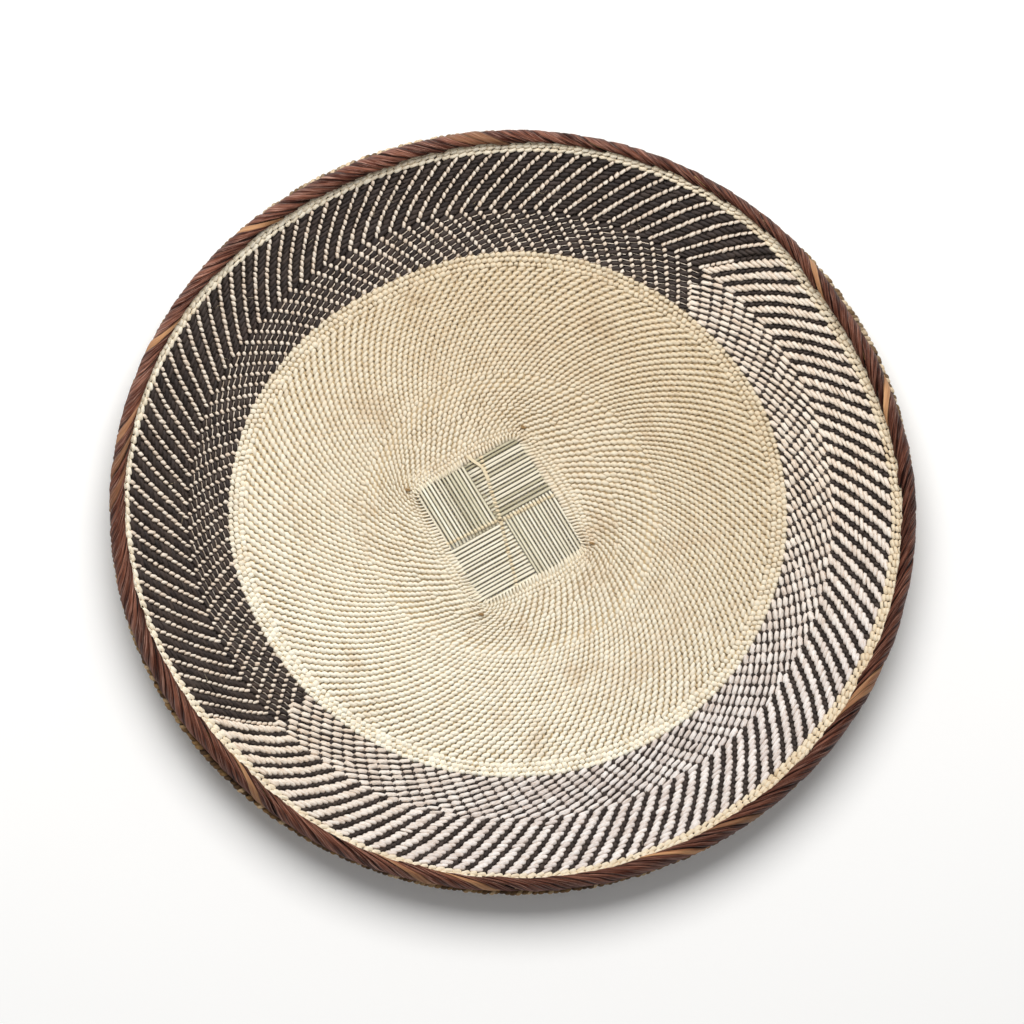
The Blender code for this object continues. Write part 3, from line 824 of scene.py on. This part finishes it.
# Painted shade: the flanks and ends of pale stitches are painted brown.
pale_tint = nodes.shade(tucked(nodes) * 0.7, pale_tint, TUCKED_SHADE)
dark_tint = nodes.blend(number, colour(68, 57, 52), colour(43, 35, 33))
dark_tint = nodes.blend(grain.spread(0.52, 0.8) * 0.5, dark_tint, colour(98, 86, 84))
patches = blotches(nodes, 60.0, 4.0, 0.65)
dark_tint = nodes.blend(patches.spread(0.55, 0.8) * 0.35, dark_tint, colour(84, 66, 52))
# Painted shade: the flanks and ends of dark stitches are painted darker.
dark_tint = nodes.shade(tucked(nodes) * 0.9, dark_tint, colour(88, 70, 62))
nodes.feed(band_shader.inputs["Roughness"], 0.62 + dye * 0.06)
finish(nodes, band_shader, nodes.blend(dye, pale_tint, dark_tint), grain, 0.00022)

ZONES = (
    ("inner_band", band_rows(INNER_BAND_ROWS, FINE_END, INNER_BAND_END, LEAN,
                             INNER_SEAMS, BREAK_SEAMS, INNER_SIZES, True)),
    ("outer_band", band_rows(OUTER_BAND_ROWS, INNER_BAND_END, OUTER_BAND_END, -LEAN,
                             BREAK_SEAMS, OUTER_SEAMS, OUTER_SIZES, False)),
)
for zone, row in ZONES:
    for face, side in FACES:
        for half, wanted, slot in (("dark", 1.0, "dyed_palm"), ("light", 0.0, "pale_palm")):
            part = {key: value[row["dark"] == wanted] for key, value in row.items()}
            piece = stitches(f"{zone}_{half}_stitches_{face}", part, side, band, slot,
                             skew=BAND_SKEW, uneven=1.6)
            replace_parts(piece, f"{zone}_{half}_{face}")


# The edge courses: plain rows of natural palm that close the band before the rim.
# Two show in full, and a third runs on under the lashing.
COURSE_END = 0.2179
EDGE_COUNTS = (288, 330, 330)
EDGE_SHARES = (1.08, 1.24, 0.8)
edge_rows = course_rows(OUTER_BAND_END, COURSE_END, EDGE_COUNTS, EDGE_SHARES, shift=0.0)
# Its painted shade is darker towards the right of the plate.
edge_palm = palm("edge_palm", colour(255, 249, 233), colour(249, 238, 216), colour(208, 184, 152),
                 side_shade_way=(0.30, -0.10, 0.0))
for face, side in FACES:
    edge = stitches("edge_stitches_" + face, joined(edge_rows), side, edge_palm, "natural_palm", uneven=1.5)
    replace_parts(edge, "edge_courses_" + face)


# The two hoops: bent peeled branches on either side of the stake ends, hidden in the lashing.
# They wander a little in and out, as bent branches do, and the lashing follows them.
HOOP_OFFSET = 0.0024
HOOP_RADIUS = 0.0016
HOOP_SWELL = 0.06
RIM_RIPPLE = 0.12
# How far the rim lies outwards, in millimetres, by degrees clockwise from +X.
RIM_WANDER = (
    (0, 1.8), (20, 2.0), (45, 1.6), (58, 1.0), (75, 0.7), (90, 0.0), (100, 0.2), (110, 1.2), (120, 0.6),
    (130, -0.7), (139, -1.9), (148, -0.9), (158, 0.6), (168, 1.4), (180, 2.2), (200, 2.5), (222, 1.6),
    (236, 0.2), (248, -0.7), (257, 0.6), (268, 1.6), (280, 2.5), (300, 2.6), (311, 2.0), (319, 0.2),
    (328, -1.8), (340, -0.6), (350, 0.8))
withy = branch("peeled_withy", 0.6, 0.05, 4.0, colour(150, 110, 68), colour(196, 158, 108))


def rim_wander(angle):
    """How far the rim lies outside its mean place, at an angle counter-clockwise from +X."""
    return 0.001 * (along_rim(angle, RIM_WANDER) + RIM_RIPPLE * np.sin(17 * angle))


def on_rim(angle, along, depth):
    """Point of the rim from its section: along the wall and off the wall's face."""
    radius = RIM_PLACE + rim_wander(angle) + along * math.cos(WALL_SLOPE) - depth * math.sin(WALL_SLOPE)
    height = wall(np.array(RIM_PLACE))[0] + along * math.sin(WALL_SLOPE) + depth * math.cos(WALL_SLOPE)
    return np.stack([radius * np.cos(angle), radius * np.sin(angle), height + 0 * radius], axis=-1)


def hoop(name, depth):
    """Bent branch whose thickness changes slightly on its way round."""
    angle = np.linspace(0, math.tau, 241)[:, None]
    around = (np.arange(8) * math.tau / 8)[None, :]
    thick = HOOP_RADIUS * (1 + HOOP_SWELL * np.sin(5 * angle + depth * 900))
    points = on_rim(angle + 0 * around, thick * np.cos(around), depth + thick * np.sin(around))[None]
    lie = lie_of(points, angle * RIM_PLACE * 1000, np.cos(around), 0.0)
    piece = strands(name + "_branch", points, lie, withy, "peeled_withy", closed=True)
    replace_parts(piece, name)


hoop("inner_hoop", HOOP_OFFSET)
hoop("outer_hoop", -HOOP_OFFSET)


# The border: the plate's own coarse grass edge, sewn over outside and below the lashed rim.
# It shows where the lashing lies further in, and is painted dark brown, as painted shade, except where it
# catches the light.
BORDER_RADIUS = 0.0020
BORDER_REACH = 0.0028
BORDER_STITCHES = 460
BORDER_TURN = 0.9
BORDER_JITTER = 0.30
BORDER_WIDTH = 0.56
BORDER_WIDTHS = (0.85, 1.2)
BORDER_SPREAD = 0.17
LIT_PLACES = ((335, 17), (247, 18))
border_low, border_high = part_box("outer_border")
border_height = (border_low[2] + border_high[2]) / 2
border_place = LONG_DIAMETER / 2 - BORDER_REACH


def border():
    """Chunky strips laid slantwise round a roll of grass."""
    place = math.tau / BORDER_STITCHES
    middles = set_round(BORDER_STITCHES, BORDER_JITTER)
    wrap = np.radians(np.linspace(-200, 130, 11))[None, :, None]
    across = np.linspace(-1, 1, 5)[None, None, :]
    width = place * BORDER_WIDTH * chance.uniform(*BORDER_WIDTHS, BORDER_STITCHES)
    angle = each(middles) + BORDER_TURN * place * wrap / math.pi + each(width) * across
    thick = 0.60 + 0.38 * np.sqrt(1.0 - 0.95 * across ** 2) + 0 * wrap
    swell = chance.normal(size=BORDER_STITCHES).clip(-1.7, 0.2)
    thick = thick * (1 + BORDER_SPREAD * each(swell))
    radius = border_place + BORDER_REACH * thick * np.cos(wrap)
    height = border_height + BORDER_RADIUS * thick * np.sin(wrap)
    points = np.stack([radius * np.cos(angle), radius * np.sin(angle), height + 0 * angle], axis=-1)
    lie = lie_of(points, wrap * 4, across)
    # Painted shade: outside the two lit places the border is painted dark brown.
    clockwise = np.degrees(-middles) % 360
    lit_share = sum(np.exp(-((clockwise - middle) / reach) ** 4) for middle, reach in LIT_PLACES)
    painted_shade_share = np.clip(1.0 - lit_share, 0, 1)
    return strands("border_strips", points, lie, coarse, "coarse_fibre", dye=each(painted_shade_share))


coarse, coarse_shader, nodes = new_material("coarse_fibre", 0.75)
number = carried(nodes, "number")
coarse_grain = fibres(nodes, 0.5, 2.4)
# Painted shade: pale where the border catches the light, dark brown where it lies in shade.
lit_tint = nodes.blend(number.spread(0.2, 0.7), colour(236, 214, 180), colour(124, 100, 72))
border_shade_tint = nodes.node("ValToRGB", {"stops": [
    (0.0, colour(78, 56, 34)), (0.45, colour(120, 90, 54)), (0.8, colour(160, 126, 80)),
    (1.0, colour(224, 196, 156))]}, {"Fac": number})
coarse_tint = nodes.blend(carried(nodes, "dye"), lit_tint, border_shade_tint)
coarse_tint = nodes.shade(coarse_grain.spread(0.42, 0.75) * 0.6, coarse_tint, colour(140, 110, 74))
# Painted shade: the flanks of the border's strips are painted darker.
coarse_tint = nodes.shade(flank(nodes, 0.3, 1.0) * 0.8, coarse_tint, colour(96, 74, 48))
finish(nodes, coarse_shader, coarse_tint, coarse_grain, 0.0004)
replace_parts(border(), "outer_border")


# The lashing: flat strips of dark bark wound on the slant round both hoops, edge over edge.
# The bark is reddish brown and streaked, with a few paler strips of inner bark among them.
LASHING_STRIPS = 150
LASHING_JITTER = 0.10
LASHING_SLANT = math.radians(9.5)
STRIP_OVERLAP = 1.20
STRIP_WIDTHS = (0.86, 1.12)
STRIP_TILT = 0.00030
STRIP_DROP = 0.0011
STRIP_CREASE = 0.00013
STRIP_LOOSENESS = 0.00020
LIP_SPREAD = 0.22
# How thick the lashed rim is, in millimetres from its middle, by degrees clockwise from +X.
LASHING_RADII = (
    (0, 3.0), (45, 3.2), (58, 3.5), (75, 3.1), (90, 2.6), (110, 3.0), (120, 2.8), (139, 3.5), (165, 3.4),
    (180, 2.9), (200, 2.6), (222, 3.1), (236, 3.5), (250, 3.6), (268, 3.0), (280, 2.4), (300, 2.3),
    (311, 2.5), (319, 3.1), (330, 3.5), (345, 3.4))
PALE_STRIPS = (30, 68, 98, 108, 134, 185, 195, 208, 231, 266, 322, 344)
PALE_REACH = 1.25


def lashing():
    """Bark strips from the front lip over the rim to the back lip, each lying over the one before."""
    middles = set_round(LASHING_STRIPS, LASHING_JITTER)
    share = np.linspace(0, 1, 17)[None, :, None]
    across = np.linspace(-1, 1, 13)[None, None, :]
    around = np.radians(176 - 352 * share)
    widths = chance.uniform(*STRIP_WIDTHS, LASHING_STRIPS)
    half = STRIP_OVERLAP * math.pi / LASHING_STRIPS * each(widths)
    half = half * np.clip(0.6 + 6 * np.minimum(share, 1 - share), 0.6, 1.0)
    slant = 1.3 - 0.35 * np.sin(middles) + 0.08 * chance.normal(size=LASHING_STRIPS).clip(-2, 2)
    slant = LASHING_SLANT * each(slant)
    angle = each(middles) + slant * (share - 0.25) + half * across
    lap = -STRIP_TILT * across - STRIP_DROP * np.abs(across) ** 5
    lap = lap + STRIP_CREASE * chance.normal(size=(LASHING_STRIPS, 1, 13)).clip(-1.6, 1.6)
    lap = lap + STRIP_LOOSENESS * chance.normal(size=(LASHING_STRIPS, 1, 1)).clip(-1.5, 1.0)
    thick = 0.001 * along_rim(angle, LASHING_RADII) + lap
    lip = 1 + LIP_SPREAD * each(chance.normal(size=LASHING_STRIPS).clip(-1.5, 1.5))
    along = thick * np.cos(around) * np.where(np.cos(around) < -0.8, lip, 1.0)
    depth = thick * np.sin(around) + HOOP_OFFSET * np.clip(2.2 * np.sin(around), -1, 1)
    points = on_rim(angle, along, depth)
    number = chance.uniform(size=LASHING_STRIPS)
    lie = lie_of(points, share * 26, across, each(number))
    seen = np.degrees(-middles) % 360
    pale_strips = np.max([np.abs(seen - place) < PALE_REACH for place in PALE_STRIPS], axis=0)
    pale_share = pale_strips * chance.uniform(0.5, 1.0, LASHING_STRIPS)
    pale_share = np.where(number > 0.95, 0.35, pale_share)
    return strands("bark_strips", points, lie, bark, "dark_bark", dye=each(pale_share))


bark, bark_shader, nodes = new_material("dark_bark", 0.42)
bark_shader.inputs["Specular IOR Level"].default_value = 0.12
bark_fine = fibres(nodes, 0.12, 9.0)
bark_broad = fibres(nodes, 0.05, 1.8)
bark_tint = nodes.node("ValToRGB", {"stops": [
    (0.0, colour(42, 16, 9)), (0.35, colour(94, 51, 38)), (0.6, colour(129, 79, 61)),
    (0.8, colour(160, 108, 88)), (1.0, colour(100, 56, 43))]}, {"Fac": bark_broad.spread(0.30, 0.70)})
bark_tint = nodes.blend(carried(nodes, "number").spread(0.2, 1.0) * 0.6, bark_tint, colour(60, 26, 18))
# Painted highlight: fine pinkish streaks stand in for the sheen along the strips.
bark_tint = nodes.blend(bark_fine.spread(0.56, 0.70) * 0.85, bark_tint, colour(222, 176, 157))
bark_tint = nodes.shade((1 - bark_fine.spread(0.34, 0.46)) * 0.9, bark_tint, colour(70, 36, 26))
# Painted shade: the strips are painted darker towards the right of the plate.
bark_tint = nodes.shade(towards(nodes, (1.0, 0.0, 0.0), -0.05, 0.22), bark_tint, colour(205, 194, 188))
tan_tint = nodes.blend(bark_broad.spread(0.35, 0.65), colour(218, 168, 122), colour(158, 104, 70))
bark_tint = nodes.blend(carried(nodes, "dye"), bark_tint, tan_tint)
# Painted shade: the edges of each strip are painted near black, for the shade in the gaps between strips.
bark_tint = nodes.shade(flank(nodes, 0.32, 0.82) * 0.95, bark_tint, colour(36, 14, 8))
finish(nodes, bark_shader, bark_tint, bark_fine * 0.5 + bark_broad * 0.7, 0.0006)
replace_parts(lashing(), "rim_lashing")


# Stray fibres: fine ends that have split off the strips and stand a little off the weave.
# They are pale, hair-thin and curled.
STRAY_COUNT = 150
STRAY_RADIUS = 0.00006
STRAY_REACH = (0.06, 0.90)
STRAY_LENGTHS = (0.002, 0.006)
STRAY_CURL = 1.4
STRAY_SUNK = 0.0004
STRAY_STAND = 0.0011
stray_angle = chance.uniform(0, math.tau, STRAY_COUNT)
stray_radius = np.sqrt(chance.uniform(*STRAY_REACH, STRAY_COUNT)) * RIM_PLACE
stray_length = chance.uniform(*STRAY_LENGTHS, STRAY_COUNT)
stray_way = chance.uniform(0, math.tau, STRAY_COUNT)
stray_curl = chance.normal(size=STRAY_COUNT) * STRAY_CURL
stray_share = np.linspace(0, 1, 7)
heading = stray_way[:, None] + stray_curl[:, None] * stray_share
steps = stray_length[:, None] / (len(stray_share) - 1)
stray_x = (stray_radius * np.cos(stray_angle))[:, None] + np.cumsum(np.cos(heading) * steps, axis=1)
stray_y = (stray_radius * np.sin(stray_angle))[:, None] + np.cumsum(np.sin(heading) * steps, axis=1)
stray_lift = COURSE_TOP - STRAY_SUNK + STRAY_STAND * np.sin(math.pi * stray_share * 0.8)
stray_spine = on_wall(stray_x, stray_y, stray_lift + 0 * stray_x)
beside = np.stack([-np.sin(heading), np.cos(heading), 0 * heading], axis=-1)
stray_around = np.arange(3) * math.tau / 3
stray_points = (stray_spine[:, :, None] + STRAY_RADIUS * (
    np.cos(stray_around)[:, None] * beside[:, :, None]
    + np.sin(stray_around)[:, None] * np.array([0, 0, 1.0])))
stray_lie = lie_of(stray_points, 0.0, 0.0)
stray_palm, stray_shader, nodes = new_material("stray_palm", 0.6)
hair_tint = nodes.blend(carried(nodes, "number"), colour(244, 232, 206), colour(206, 182, 140))
finish(nodes, stray_shader, hair_tint)
strands("stray_fibres", stray_points, stray_lie, stray_palm, "natural_palm", closed=True)


# The studio: a white floor that keeps the plate's shadow, soft light from all round, and one
# wide lamp beyond the top of the picture. The camera is almost straight above the plate.
FLOOR_SIZE = 8.0
CAMERA_DISTANCE = 8.0
CAMERA_LEAN = (-0.075, -0.070)
FRAME_WIDTH = 0.5695
LAMP_RISE = math.radians(60)
LAMP_BEARING = math.radians(97)
LAMP_WIDTH = 2.2
LAMP_HEIGHT = 1.4
LAMP_DISTANCE = 2.2
LAMP_POWER = 55
LAMP_TINT = (1.0, 0.99, 0.97)
WORLD_STRENGTH = 0.23
FLOOR_GLOW = 0.04
FLOOR_GAP = 0.0002
AIM_LEFT = 0.0008
floor_mesh = bpy.data.meshes.new("floor")
floor_corners = [(x * FLOOR_SIZE, y * FLOOR_SIZE, 0) for x, y in ((-1, -1), (1, -1), (1, 1), (-1, 1))]
floor_mesh.from_pydata(floor_corners, [], [(0, 1, 2, 3)])
floor = bpy.data.objects.new("floor", floor_mesh)
floor.location.z = cad_box[0][2] - FLOOR_GAP
bpy.context.scene.collection.objects.link(floor)
floor_white, floor_shader, nodes = new_material("floor_white", 0.9)
floor_shader.inputs["Base Color"].default_value = (0.97, 0.97, 0.97, 1)
floor_shader.inputs["Specular IOR Level"].default_value = 0.0
floor_mesh.materials.append(floor_white)
rays = [nodes.node("LightPath", {}, {}, f"Is {kind} Ray") for kind in ("Camera", "Glossy", "Transmission")]
glow = nodes.node("Emission", {}, {"Color": (1, 1, 1, 1), "Strength": sum(rays) * FLOOR_GLOW})
floor_output = floor_white.node_tree.nodes["Material Output"]
floor_sum = nodes.node("AddShader", {}, {0: Socket(nodes.tree, floor_shader.outputs[0]), 1: glow})
nodes.feed(floor_output.inputs["Surface"], floor_sum)

world = bpy.data.worlds.new("studio")
bpy.context.scene.world = world
world.use_nodes = True
background = world.node_tree.nodes["Background"]
background.inputs["Color"].default_value = (1.0, 1.0, 1.0, 1)
background.inputs["Strength"].default_value = WORLD_STRENGTH

window = bpy.data.lights.new("window", "AREA")
window.shape = "ELLIPSE"
window.size = LAMP_WIDTH
window.size_y = LAMP_HEIGHT
window.energy = LAMP_POWER
window.color = LAMP_TINT
stand = bpy.data.objects.new("window", window)
stand.rotation_euler = (math.pi / 2 - LAMP_RISE, 0, LAMP_BEARING + math.pi / 2)
stand.location = stand.rotation_euler.to_matrix() @ mathutils.Vector((0, 0, LAMP_DISTANCE))
bpy.context.scene.collection.objects.link(stand)

camera_data = bpy.data.cameras.new("camera")
camera_data.sensor_width = 36
camera_data.lens = CAMERA_DISTANCE * camera_data.sensor_width / FRAME_WIDTH
camera = bpy.data.objects.new("camera", camera_data)
aim = np.array([-AIM_LEFT, 0.0, border_height])
camera_way = np.array([*CAMERA_LEAN, 1.0])
camera_way /= np.linalg.norm(camera_way)
camera.location = aim + CAMERA_DISTANCE * camera_way
camera_right = np.cross((0.0, 1.0, 0.0), camera_way)
camera_right /= np.linalg.norm(camera_right)
camera_up = np.cross(camera_way, camera_right)
camera.rotation_euler = mathutils.Matrix(np.stack([camera_right, camera_up, camera_way], axis=1)).to_euler()
bpy.context.scene.collection.objects.link(camera)
bpy.context.scene.camera = camera
bpy.context.scene.view_settings.view_transform = "Standard"
